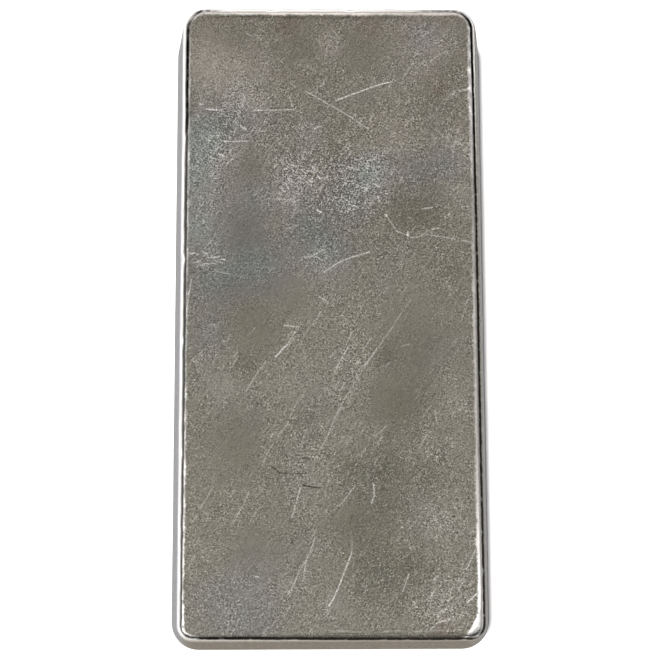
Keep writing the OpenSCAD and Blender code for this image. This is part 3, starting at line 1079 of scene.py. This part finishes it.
@dataclass
class Ingot:
    """The casting: a drafted block with rounded edges, its marks and its wear.

    Attributes:
        box: Lowest and highest corner of the solid that it stands for, in metres.
        draft: Lean of the walls from the vertical in degrees.
        far_corner: Radius of the upper face's two far corners seen from above.
        near_corner: Radius of its two near corners.
        edge_radius: Radius of the rounded edge round the upper face.
        rim_radius: Radius of the rim where the walls meet the pour face.
        cell: Size of the mesh's plain cells.
        swell_depth: Depth of the casting's broad hollows.
        swell_width: Width of these hollows.
        waver_depth: Depth of the small hollows along the rounded edge.
        waver_width: Width of these hollows.
        dent_depth: The deepest that a dent or the worn corner may be.
        scratch_depth: Depth of the widest scratch.
        finish: What its surface is.
    """

    box: tuple[Vector, Vector]
    draft: float = 8.0
    far_corner: float = 3.7
    near_corner: float = 2.5
    edge_radius: float = 1.4
    rim_radius: float = 1.0
    cell: float = 1.0
    swell_depth: float = 0.08
    swell_width: float = 13.0
    waver_depth: float = 0.10
    waver_width: float = 2.0
    dent_depth: float = 0.3
    scratch_depth: float = 0.035
    finish: TarnishedSilver = field(default_factory=TarnishedSilver)

    # Faces across each rounding
    CORNER_STEPS = 12
    EDGE_STEPS = 8
    RIM_STEPS = 6
    # How closely places are told apart, and the shortest length that has a direction
    CUT_MARGIN = 1e-4
    TINY = 1e-6
    # Breadth of the finer mesh inside the face's outline
    BORDER = 3.0
    # How far beside a scratch each round makes the mesh finer, and the half width that these fit
    REFINE_REACH = (0.9, 0.55, 0.3)
    USUAL_HALF_WIDTH = 0.1
    # Steps in which the depth of a relief is stored
    WEIGHT_STEPS = 255
    # Heights above the pour face between which the relief sets in
    RELIEF_START = (0.0, 2.0)
    # Distances from the face's outline, and depths below the face, between which the small hollows set in
    WAVER_INSET = (-2.4, -1.0)
    WAVER_DEPTHS = (3.0, 1.2)
    # How far from its middle a scratch's groove ends, and its mark ends and is full, as shares of its width
    GROOVE_END = 0.75
    MARK_END = 0.55
    MARK_CORE = 0.1
    # Share of the depth that even the faintest scratch has, and the width at which the depth is full
    FAINT_DEPTH = 0.4
    WIDEST_SCRATCH = 0.45
    # How fast the wear grows past the line of the worn corner, and the limits of the wear that is stored
    CORNER_WEAR = 2.5
    RUB_LIMITS = (-1.0, 1.5)
    # Depths below the face between which the lower half of the rounding sets in, and the wall
    LOWER_DEPTHS = (0.3, 0.6)
    WALL_DEPTHS = (1.0, 2.5)
    # Share of the shine that the wall has lost
    WALL_LOSS = 0.9
    # Heights, and distances past the flat face, between which the painted shade along a wall's base sets in
    FOOT_HEIGHTS = (8.0, 3.0)
    FOOT_PAST = (1.0, 2.0)
    # Depth below the face at which its patches have faded
    FACE_FADE = 1.0

    def __post_init__(self) -> None:
        """Works out the sizes that follow from the box and the driving sizes."""
        low, high = self.box
        turn = math.radians(90.0 - self.draft)
        self.thickness = (high.z - low.z) / MM
        self.spread = self.thickness * math.tan(math.radians(self.draft))
        self.edge_setback = self.edge_radius * math.tan(turn / 2)
        self.rim_setback = self.rim_radius * math.tan((math.pi - turn) / 2)
        overhang = self.spread - self.rim_setback + self.rim_radius
        self.face_width = (high.x - low.x) / MM - 2 * overhang
        self.face_length = (high.y - low.y) / MM - 2 * overhang
        self.flat_height = self.thickness - self.CUT_MARGIN

    def build(self) -> bpy.types.Object:
        """Models the casting.

        Returns:
            The finished mesh object, dressed and in place.
        """
        piece = self._block()
        self._cut_into_cells(piece)
        self._refine(piece)
        places = read_places(piece, Domain.VERTICES)
        self._carve(piece, places)
        self._write_marks(piece, places)
        self._to_metres(piece)
        piece.data.materials.append(self.finish.material())
        return piece

    def _block(self) -> bpy.types.Object:
        """Models the plain block, wide face down, with all its edges rounded.

        Returns:
            The block, in millimetres.
        """
        bpy.ops.object.select_all(action="DESELECT")
        bpy.ops.mesh.primitive_plane_add(size=1.0)
        piece = bpy.context.active_object
        piece.name = piece.data.name = "ingot_casting"
        pour_size = (self.face_width + 2 * self.spread, self.face_length + 2 * self.spread, 1.0)
        bpy.ops.transform.resize(value=pour_size)
        bpy.ops.object.transform_apply(scale=True)
        for radius, away in ((self.far_corner, 1.0), (self.near_corner, -1.0)):
            there = read_places(piece, Domain.VERTICES)[:, 1] * away > 0.0
            open_with_selected(piece, Domain.VERTICES, there)
            bpy.ops.mesh.bevel(offset=radius + self.spread, segments=self.CORNER_STEPS,
                               affect="VERTICES", clamp_overlap=False)
        bpy.ops.mesh.select_all(action="SELECT")
        bpy.ops.mesh.inset(thickness=self.spread, depth=self.thickness)
        bpy.ops.mesh.select_all(action="DESELECT")
        bpy.ops.mesh.select_non_manifold()
        bpy.ops.mesh.edge_face_add()
        bpy.ops.mesh.select_all(action="SELECT")
        bpy.ops.mesh.normals_make_consistent(inside=False)
        self._round_loop(piece, self.thickness, self.edge_setback, self.EDGE_STEPS)
        self._round_loop(piece, 0.0, self.rim_setback, self.RIM_STEPS)
        bpy.ops.object.mode_set(mode="OBJECT")
        return piece

    def _round_loop(self, piece: bpy.types.Object, height: float, setback: float, steps: int) -> None:
        """Rounds the loop of edges at one height.

        Args:
            piece: The block.
            height: Height of the loop.
            setback: How far from the loop the rounding starts.
            steps: Number of faces across the rounding.
        """
        level = np.abs(read_places(piece, Domain.VERTICES)[:, 2] - height) < self.CUT_MARGIN
        ends = np.empty(len(piece.data.edges) * 2, int)
        piece.data.edges.foreach_get("vertices", ends)
        open_with_selected(piece, Domain.EDGES, level[ends.reshape(-1, 2)].all(axis=1))
        bpy.ops.mesh.bevel(offset=setback, segments=steps, profile=0.5, affect="EDGES", clamp_overlap=False)

    def _cut_into_cells(self, piece: bpy.types.Object) -> None:
        """Cuts the block into cells, fine enough to carry the waviness of a casting.

        Args:
            piece: The block.
        """
        half_sizes = (self.face_width / 2 + self.spread, self.face_length / 2 + self.spread)
        cuts = [(axis, step * self.cell)
                for axis, half in enumerate(half_sizes)
                for step in range(-int(half / self.cell), int(half / self.cell) + 1)]
        levels = int((self.thickness - self.edge_radius - self.rim_radius) / self.cell)
        cuts += [(2, self.rim_radius + step * self.cell) for step in range(1, levels)]
        bpy.ops.object.mode_set(mode="EDIT")
        for axis, place in cuts:
            normal = [float(axis == other) for other in range(3)]
            bpy.ops.mesh.select_all(action="SELECT")
            bpy.ops.mesh.bisect(plane_co=[place * part for part in normal], plane_no=normal,
                                threshold=self.CUT_MARGIN)
        bpy.ops.object.mode_set(mode="OBJECT")

    def _refine(self, piece: bpy.types.Object) -> None:
        """Makes the mesh finer along the rounded upper edge, and along the scratches down to their width.

        Args:
            piece: The block, cut into cells.
        """
        middles = read_places(piece, Domain.FACES)
        border, _ = self._from_outline(middles)
        upper = middles[:, 2] > self.thickness - self.edge_radius
        open_with_selected(piece, Domain.FACES, upper & (border > -self.BORDER))
        bpy.ops.mesh.subdivide(number_cuts=1)
        for reach in self.REFINE_REACH:
            middles = read_places(piece, Domain.FACES)
            near = np.zeros(len(middles), bool)
            top = middles[:, 2] > self.flat_height
            for scratch in BRIGHT_SCRATCHES + SOILED_SCRATCHES:
                distance = path_distance(middles[top, :2], scratch.path)
                near[top] |= distance < reach + scratch.width / 2 - self.USUAL_HALF_WIDTH
            open_with_selected(piece, Domain.FACES, near)
            bpy.ops.mesh.subdivide(number_cuts=1)
        bpy.ops.object.mode_set(mode="OBJECT")

    def _carve(self, piece: bpy.types.Object, places: np.ndarray) -> None:
        """Presses the casting's hollows, dents, worn corner and scratches into its surface.

        Args:
            piece: The refined block.
            places: Where its vertices are.
        """
        inset, _ = self._from_outline(places)
        depth = self.thickness - places[:, 2]
        standing = smooth_step(places[:, 2], *self.RELIEF_START)
        rounding = smooth_step(inset, *self.WAVER_INSET) * smooth_step(depth, *self.WAVER_DEPTHS)
        worn = np.maximum(WORN_CORNER.past(places[:, :2]), 0.0) * WORN_CORNER.slope
        self._press(piece, "swell", standing, self.swell_depth, wave=self.swell_width)
        self._press(piece, "waver", rounding, self.waver_depth, wave=self.waver_width)
        self._press(piece, "dents", self._dent_weights(places), self.dent_depth)
        self._press(piece, "worn_corner", standing * worn / self.dent_depth, self.dent_depth, direction="Z")
        self._press(piece, "scratches", self._groove_weights(places), self.scratch_depth, direction="Z")

    def _press(
        self, piece: bpy.types.Object, name: str, weights: np.ndarray, depth: float, wave: float = 0.0,
        direction: str = "NORMAL",
    ) -> None:
        """Pushes the surface inwards with a displace modifier, which it then applies.

        Args:
            piece: The mesh.
            name: Name of the relief.
            weights: How far each vertex goes, from 0 to 1 of the depth.
            depth: Depth of the relief in mm.
            wave: Size of a cloud pattern that varies the depth in mm, or 0 for none.
            direction: Which way is outwards, as the modifier names it.
        """
        group = piece.vertex_groups.new(name=name)
        levels = np.round(np.clip(weights, 0.0, 1.0) * self.WEIGHT_STEPS).astype(int)
        for level in np.unique(levels[levels > 0]):
            group.add(np.flatnonzero(levels == level).tolist(), level / self.WEIGHT_STEPS, "REPLACE")
        relief = piece.modifiers.new(name, "DISPLACE")
        relief.vertex_group = name
        relief.direction = direction
        relief.mid_level = 0.0
        relief.strength = -depth
        if wave:
            clouds = bpy.data.textures.new(name, "CLOUDS")
            clouds.noise_scale = wave
            relief.texture = clouds
            relief.texture_coords = "LOCAL"
        bpy.ops.object.modifier_apply(modifier=name)
        piece.vertex_groups.remove(piece.vertex_groups[name])

    def _from_outline(self, places: np.ndarray) -> tuple[np.ndarray, np.ndarray]:
        """Measures, in plan, how far points are from the upper face's sharp outline.

        Args:
            places: Where the points are.

        Returns:
            The distance, negative inside, and the outward direction to the nearest edge.
        """
        radius = np.where(places[:, 1] > 0.0, self.far_corner, self.near_corner)
        half = np.array([self.face_width, self.face_length]) / 2 - radius[:, None]
        beyond = np.abs(places[:, :2]) - half
        outside = np.maximum(beyond, 0.0)
        length = np.linalg.norm(outside, axis=1)
        distance = length + np.minimum(beyond.max(axis=1), 0.0) - radius
        straight = np.eye(2)[beyond.argmax(axis=1)]
        turned = outside / np.maximum(length, self.TINY)[:, None]
        direction = np.where((length > self.TINY)[:, None], turned, straight) * np.sign(places[:, :2])
        return distance, direction

    def _dent_weights(self, places: np.ndarray) -> np.ndarray:
        """Gives the depth of the dents as a share of the deepest that a dent may be.

        Args:
            places: Where the vertices are.

        Returns:
            One weight for each vertex.
        """
        weights = np.zeros(len(places))
        for dent in DENTS:
            middle = np.array([*dent.place, self.thickness - dent.below])
            away = np.linalg.norm(places - middle, axis=1)
            weight = smooth_step(away, dent.radius, 0.0) * dent.depth / self.dent_depth
            weights = np.maximum(weights, weight)
        return weights

    def _groove_weights(self, places: np.ndarray) -> np.ndarray:
        """Gives the depth of the scratches as a share of the deepest.

        Args:
            places: Where the vertices are.

        Returns:
            One weight for each vertex.
        """
        weights = np.zeros(len(places))
        top = np.flatnonzero(places[:, 2] > self.flat_height)
        for scratch in BRIGHT_SCRATCHES + SOILED_SCRATCHES:
            distance = path_distance(places[top, :2], scratch.path)
            depth = self.FAINT_DEPTH + (1.0 - self.FAINT_DEPTH) * scratch.strength
            groove = smooth_step(distance, self.GROOVE_END * scratch.width, 0.0) * depth
            weights[top] = np.maximum(weights[top], groove * scratch.width / self.WIDEST_SCRATCH)
        return weights

    def _write_marks(self, piece: bpy.types.Object, places: np.ndarray) -> None:
        """Stores where the casting is rubbed, polished, soiled, darkened by painted shade and tarnished, for
        its finish to read.

        Args:
            piece: The carved mesh.
            places: Where its vertices were before it was carved.
        """
        rub, dull, dirt_and_painted_shade = self._edge_marks(places)
        marks = {
            "scratch": self._scratch_marks(places, BRIGHT_SCRATCHES),
            # Dirt in grooves and along the edges, with painted shade on the rounding and along the walls'
            # base
            "soil_and_painted_shade": np.maximum(self._scratch_marks(places, SOILED_SCRATCHES), dirt_and_painted_shade),
            "rub": rub,
            "dull": dull,
            **self._patch_marks(places),
        }
        for name, values in marks.items():
            layer = piece.data.attributes.new(name, "FLOAT", "POINT")
            layer.data.foreach_set("value", values.astype(np.float32))

    def _scratch_marks(self, places: np.ndarray, scratches: tuple[Scratch, ...]) -> np.ndarray:
        """Finds the vertices that lie in scratches.

        Args:
            places: Where the vertices are.
            scratches: The scratches.

        Returns:
            How clearly each vertex is marked, from 0 to 1.
        """
        marks = np.zeros(len(places))
        top = np.flatnonzero(places[:, 2] > self.flat_height)
        for scratch in scratches:
            distance = path_distance(places[top, :2], scratch.path)
            inside = smooth_step(distance, self.MARK_END * scratch.width, self.MARK_CORE * scratch.width)
            marks[top] = np.maximum(marks[top], inside * scratch.strength)
        return marks

    def _edge_marks(self, places: np.ndarray) -> tuple[np.ndarray, np.ndarray, np.ndarray]:
        """Finds how the rounded edges, the worn corner and the walls are rubbed, and where dirt and painted
        shade lie.

        Args:
            places: Where the vertices are.

        Returns:
            How far past the start of the rubbed metal each vertex is in mm, how dull it is, from 0 to 1,
            and how thick the dirt and painted shade are.
        """
        inset, outward = self._from_outline(places)
        depth = self.thickness - places[:, 2]
        past = inset + self.edge_setback
        # Painted shade along the walls' base, for their reflection of the floor's contact shadow
        foot = smooth_step(places[:, 2], *self.FOOT_HEIGHTS) * smooth_step(past, *self.FOOT_PAST)
        rub = past.copy()
        shine, lower, dirt_and_painted_shade = np.zeros((3, len(places)))
        for edge in EDGES:
            facing = edge.facing(outward)
            rub += facing * edge.along(edge.reach, places)
            shine += facing * edge.along(edge.shine, places)
            lower += facing * edge.lower
            dirt_and_painted_shade += facing * (edge.dirt_and_painted_shade_at(places, past) + edge.foot * foot)
        rub = np.maximum(rub, self.CORNER_WEAR * WORN_CORNER.past(places[:, :2]))
        bright = shine + smooth_step(depth, *self.LOWER_DEPTHS) * (lower - shine)
        bright *= 1.0 - self.WALL_LOSS * smooth_step(depth, *self.WALL_DEPTHS)
        underside = places[:, 2] < self.rim_radius / 2
        return np.clip(rub, *self.RUB_LIMITS), np.where(underside, 1.0, 1.0 - bright), dirt_and_painted_shade

    def _patch_marks(self, places: np.ndarray) -> dict[str, np.ndarray]:
        """Adds up the tarnish patches on the upper face, and the tarnish and painted light and shade of the
        walls.

        Args:
            places: Where the vertices are.

        Returns:
            The warmth, shade and grit of each vertex.
        """
        totals = {name: np.zeros(len(places)) for name in ("warmth", "shade", "grit")}
        upward = smooth_step(places[:, 2], self.thickness - self.FACE_FADE, self.thickness)
        for patch in PATCHES:
            away = np.linalg.norm(places[:, :2] - np.array(patch.place), axis=1)
            strength = np.exp(-((away / patch.radius) ** 2)) * upward
            for name, total in totals.items():
                total += strength * getattr(patch, name)
        _, outward = self._from_outline(places)
        # The walls' warmth, and painted light or shade on each wall by its side
        for edge in EDGES:
            below = edge.facing(outward) * (1.0 - upward)
            totals["warmth"] += below * edge.wall_warmth
            totals["shade"] += below * edge.wall_shade
        return totals

    def _to_metres(self, piece: bpy.types.Object) -> None:
        """Brings the finished mesh to metres and shades it smooth.

        Args:
            piece: The carved mesh, in millimetres.
        """
        bpy.ops.transform.resize(value=(MM, MM, MM), center_override=(0.0, 0.0, 0.0))
        bpy.ops.object.transform_apply(location=True, rotation=True, scale=True)
        bpy.ops.object.shade_smooth()


@dataclass(frozen=True)
class SoftPanel:
    """A soft bright area of the studio round the ingot.

    Attributes:
        azimuth: Direction of its middle in degrees, from +Y towards +X.
        elevation: Height of its middle above the horizon in degrees.
        reach: Angle from its middle to its edge in degrees.
        fade: Angle over which its edge fades in degrees.
        colour: Its colour.
        radiance: Its brightness.
    """

    azimuth: float
    elevation: float
    reach: float
    fade: float
    colour: str
    radiance: float

    @property
    def direction(self) -> tuple[float, float, float]:
        """The unit vector to its middle."""
        azimuth, elevation = math.radians(self.azimuth), math.radians(self.elevation)
        level = math.cos(elevation)
        return (level * math.sin(azimuth), level * math.cos(azimuth), math.sin(elevation))

    @property
    def edge(self) -> Ramp:
        """How it brightens across its edge, by the cosine of the angle from its middle."""
        outer, inner = self.reach + self.fade / 2, self.reach - self.fade / 2
        return Ramp(math.cos(math.radians(outer)), math.cos(math.radians(inner)))


@dataclass(frozen=True)
class Studio:
    """A pale floor under soft panels in a dim room, so that rubbed metal shows dark and bright lines.

    Attributes:
        floor_size: Side of the square floor in metres.
        floor_colour: Colour of the floor.
        floor_roughness: Roughness of the floor.
        room_colour: Colour of the dim room between the panels.
        room_radiance: Brightness of the dim room.
        horizon: Brightness added low down all round, by the sine of the angle above the horizon.
        backdrop_colour: What the camera sees above the floor.
        fill_strength: Strength of the lamp that lights the floor.
        fill_angle: Softness of that lamp in degrees.
        fill_lean: How far that lamp leans from the left in degrees, for a narrow shadow along the right wall.
        panels: The soft panels.
    """

    floor_size: float = 8.0
    floor_colour: str = "#f6f6f5"
    floor_roughness: float = 0.9
    room_colour: str = "#ffffff"
    room_radiance: float = 0.045
    horizon: Ramp = Ramp(0.42, 0.22, end=0.50)
    backdrop_colour: str = "#f0f0ef"
    fill_strength: float = 3.6
    fill_angle: float = 4.0
    fill_lean: float = 10.0
    panels: tuple[SoftPanel, ...] = (
        SoftPanel(azimuth=0.0, elevation=90.0, reach=22.0, fade=8.0, colour="#ffffff", radiance=1.0),
        SoftPanel(azimuth=75.0, elevation=62.0, reach=17.0, fade=8.0, colour="#fdf8fc", radiance=0.48),
        SoftPanel(azimuth=92.0, elevation=36.0, reach=22.0, fade=8.0, colour="#fdf8fc", radiance=0.36),
        SoftPanel(azimuth=112.0, elevation=58.0, reach=14.0, fade=8.0, colour="#ffffff", radiance=0.45),
        SoftPanel(azimuth=240.0, elevation=58.0, reach=20.0, fade=5.0, colour="#ffffff", radiance=1.3),
        SoftPanel(azimuth=180.0, elevation=58.0, reach=19.0, fade=8.0, colour="#ffffff", radiance=0.5),
        SoftPanel(azimuth=-90.0, elevation=35.0, reach=35.0, fade=20.0, colour="#fff6ee", radiance=0.05),
        SoftPanel(azimuth=0.0, elevation=52.0, reach=16.0, fade=8.0, colour="#fff7f3", radiance=0.95),
        SoftPanel(azimuth=-42.0, elevation=30.0, reach=16.0, fade=8.0, colour="#fff7f3", radiance=0.55),
        SoftPanel(azimuth=0.0, elevation=16.0, reach=18.0, fade=6.0, colour="#fff7f3", radiance=0.5),
    )

    def build(self) -> None:
        """Adds the floor, the room and the lamp."""
        self._floor()
        self._room()
        self._fill()

    def _floor(self) -> None:
        """Adds the floor, which is not part of the object."""
        bpy.ops.object.select_all(action="DESELECT")
        bpy.ops.mesh.primitive_plane_add(size=self.floor_size)
        floor = bpy.context.active_object
        floor.name = "floor"
        # Uncoated paper scatters light evenly and shows no gloss
        material = bpy.data.materials.new("matt_white_paper")
        material.use_nodes = True
        shader = material.node_tree.nodes["Principled BSDF"]
        shader.inputs["Base Color"].default_value = linear(self.floor_colour)
        shader.inputs["Roughness"].default_value = self.floor_roughness
        shader.inputs["Specular IOR Level"].default_value = 0.0
        floor.data.materials.append(material)

    def _room(self) -> None:
        """Adds the room: soft panels where light comes from, and dim walls between them."""
        world = bpy.data.worlds.new("studio")
        world.use_nodes = True
        bpy.context.scene.world = world
        tree = world.node_tree
        tree.nodes.clear()
        toward = add_node(tree, "TexCoord").outputs["Generated"]
        height = add_node(tree, "SeparateXYZ", {"Vector": toward}).outputs["Z"]
        low_down = add_node(tree, "MapRange", self.horizon.inputs(height), interpolation_type="SMOOTHSTEP")
        light = add_node(tree, "VectorMath", {
            0: lit(self.room_colour, self.room_radiance), 1: low_down.outputs[0]}, operation="ADD").outputs[0]
        for panel in self.panels:
            facing = add_node(tree, "VectorMath", {0: toward, 1: panel.direction}, operation="DOT_PRODUCT")
            inside = add_node(tree, "MapRange", panel.edge.inputs(facing.outputs["Value"]),
                              interpolation_type="SMOOTHSTEP")
            light = add_node(tree, "VectorMath", {
                0: inside.outputs[0], 1: lit(panel.colour, panel.radiance), 2: light},
                operation="MULTIPLY_ADD").outputs[0]
        seen = add_node(tree, "LightPath").outputs["Is Camera Ray"]
        shown = add_node(tree, "Mix", {
            FACTOR: seen, COLOUR_A: light, COLOUR_B: linear(self.backdrop_colour)}, data_type="RGBA")
        background = add_node(tree, "Background", {"Color": shown.outputs[COLOUR]})
        add_node(tree, "OutputWorld", {"Surface": background.outputs[0]})

    def _fill(self) -> None:
        """Adds a lamp high up that lights the floor, kept out of the metal's reflections."""
        lean = math.radians(self.fill_lean)
        bpy.ops.object.light_add(
            type="SUN", location=(-math.sin(lean), 0.0, math.cos(lean)), rotation=(0.0, -lean, 0.0))
        lamp = bpy.context.active_object
        lamp.name = "floor_fill"
        lamp.data.energy = self.fill_strength
        lamp.data.angle = math.radians(self.fill_angle)
        lamp.visible_glossy = False


@dataclass(frozen=True)
class PhotoCamera:
    """A camera that stands where the photograph was taken, almost straight above the ingot.

    Attributes:
        aim: Where it looks, on the upper face, in mm.
        distance: How far away it is in mm.
        elevation: Its height above the horizon in degrees.
        azimuth: How far it stands to the right of the near side in degrees.
        roll: Its turn about its own view in degrees.
        lens: Focal length in mm.
        sensor: Width of its sensor in mm.
        nearest: Distance in mm from which on it sees things.
    """

    aim: Point = (-0.14, -2.60)
    distance: float = 259.22
    elevation: float = 81.373
    azimuth: float = -5.645
    roll: float = 5.509
    lens: float = 85.21
    sensor: float = 36.0
    nearest: float = 10.0

    def build(self, face_height: float) -> bpy.types.Object:
        """Adds the camera.

        Args:
            face_height: Height of the upper face in metres.

        Returns:
            The camera object.
        """
        azimuth, elevation, roll = (math.radians(a) for a in (self.azimuth, self.elevation, self.roll))
        level = math.cos(elevation)
        back = Vector((level * math.sin(azimuth), -level * math.cos(azimuth), math.sin(elevation)))
        right = Vector((math.cos(azimuth), math.sin(azimuth), 0.0))
        turned = Matrix.Rotation(roll, 3, back) @ right
        up = back.cross(turned)
        place = Vector((self.aim[0] * MM, self.aim[1] * MM, face_height)) + back * self.distance * MM
        bpy.ops.object.camera_add()
        camera = bpy.context.active_object
        camera.name = "photo_camera"
        camera.matrix_world = Matrix.Translation(place) @ Matrix((turned, up, back)).transposed().to_4x4()
        camera.data.lens = self.lens
        camera.data.sensor_width = self.sensor
        camera.data.clip_start = self.nearest * MM
        bpy.context.scene.camera = camera
        return camera


def main() -> None:
    """Builds the ingot and its studio."""
    logging.basicConfig(level=logging.INFO, format="%(name)s: %(message)s")
    low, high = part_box(CAD_NODE)
    camera = PhotoCamera().build(high.z)
    log.info("camera at %s", tuple(round(part, 4) for part in camera.location))
    Studio().build()
    log.info("studio built")
    ingot = Ingot((low, high)).build()
    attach(ingot, BODY)
    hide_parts(CAD_NODE)
    ingot.data.calc_loop_triangles()
    log.info("%s: %d triangles", ingot.name, len(ingot.data.loop_triangles))
    bpy.context.scene.view_settings.view_transform = "Standard"


if __name__ == "__main__":
    main()
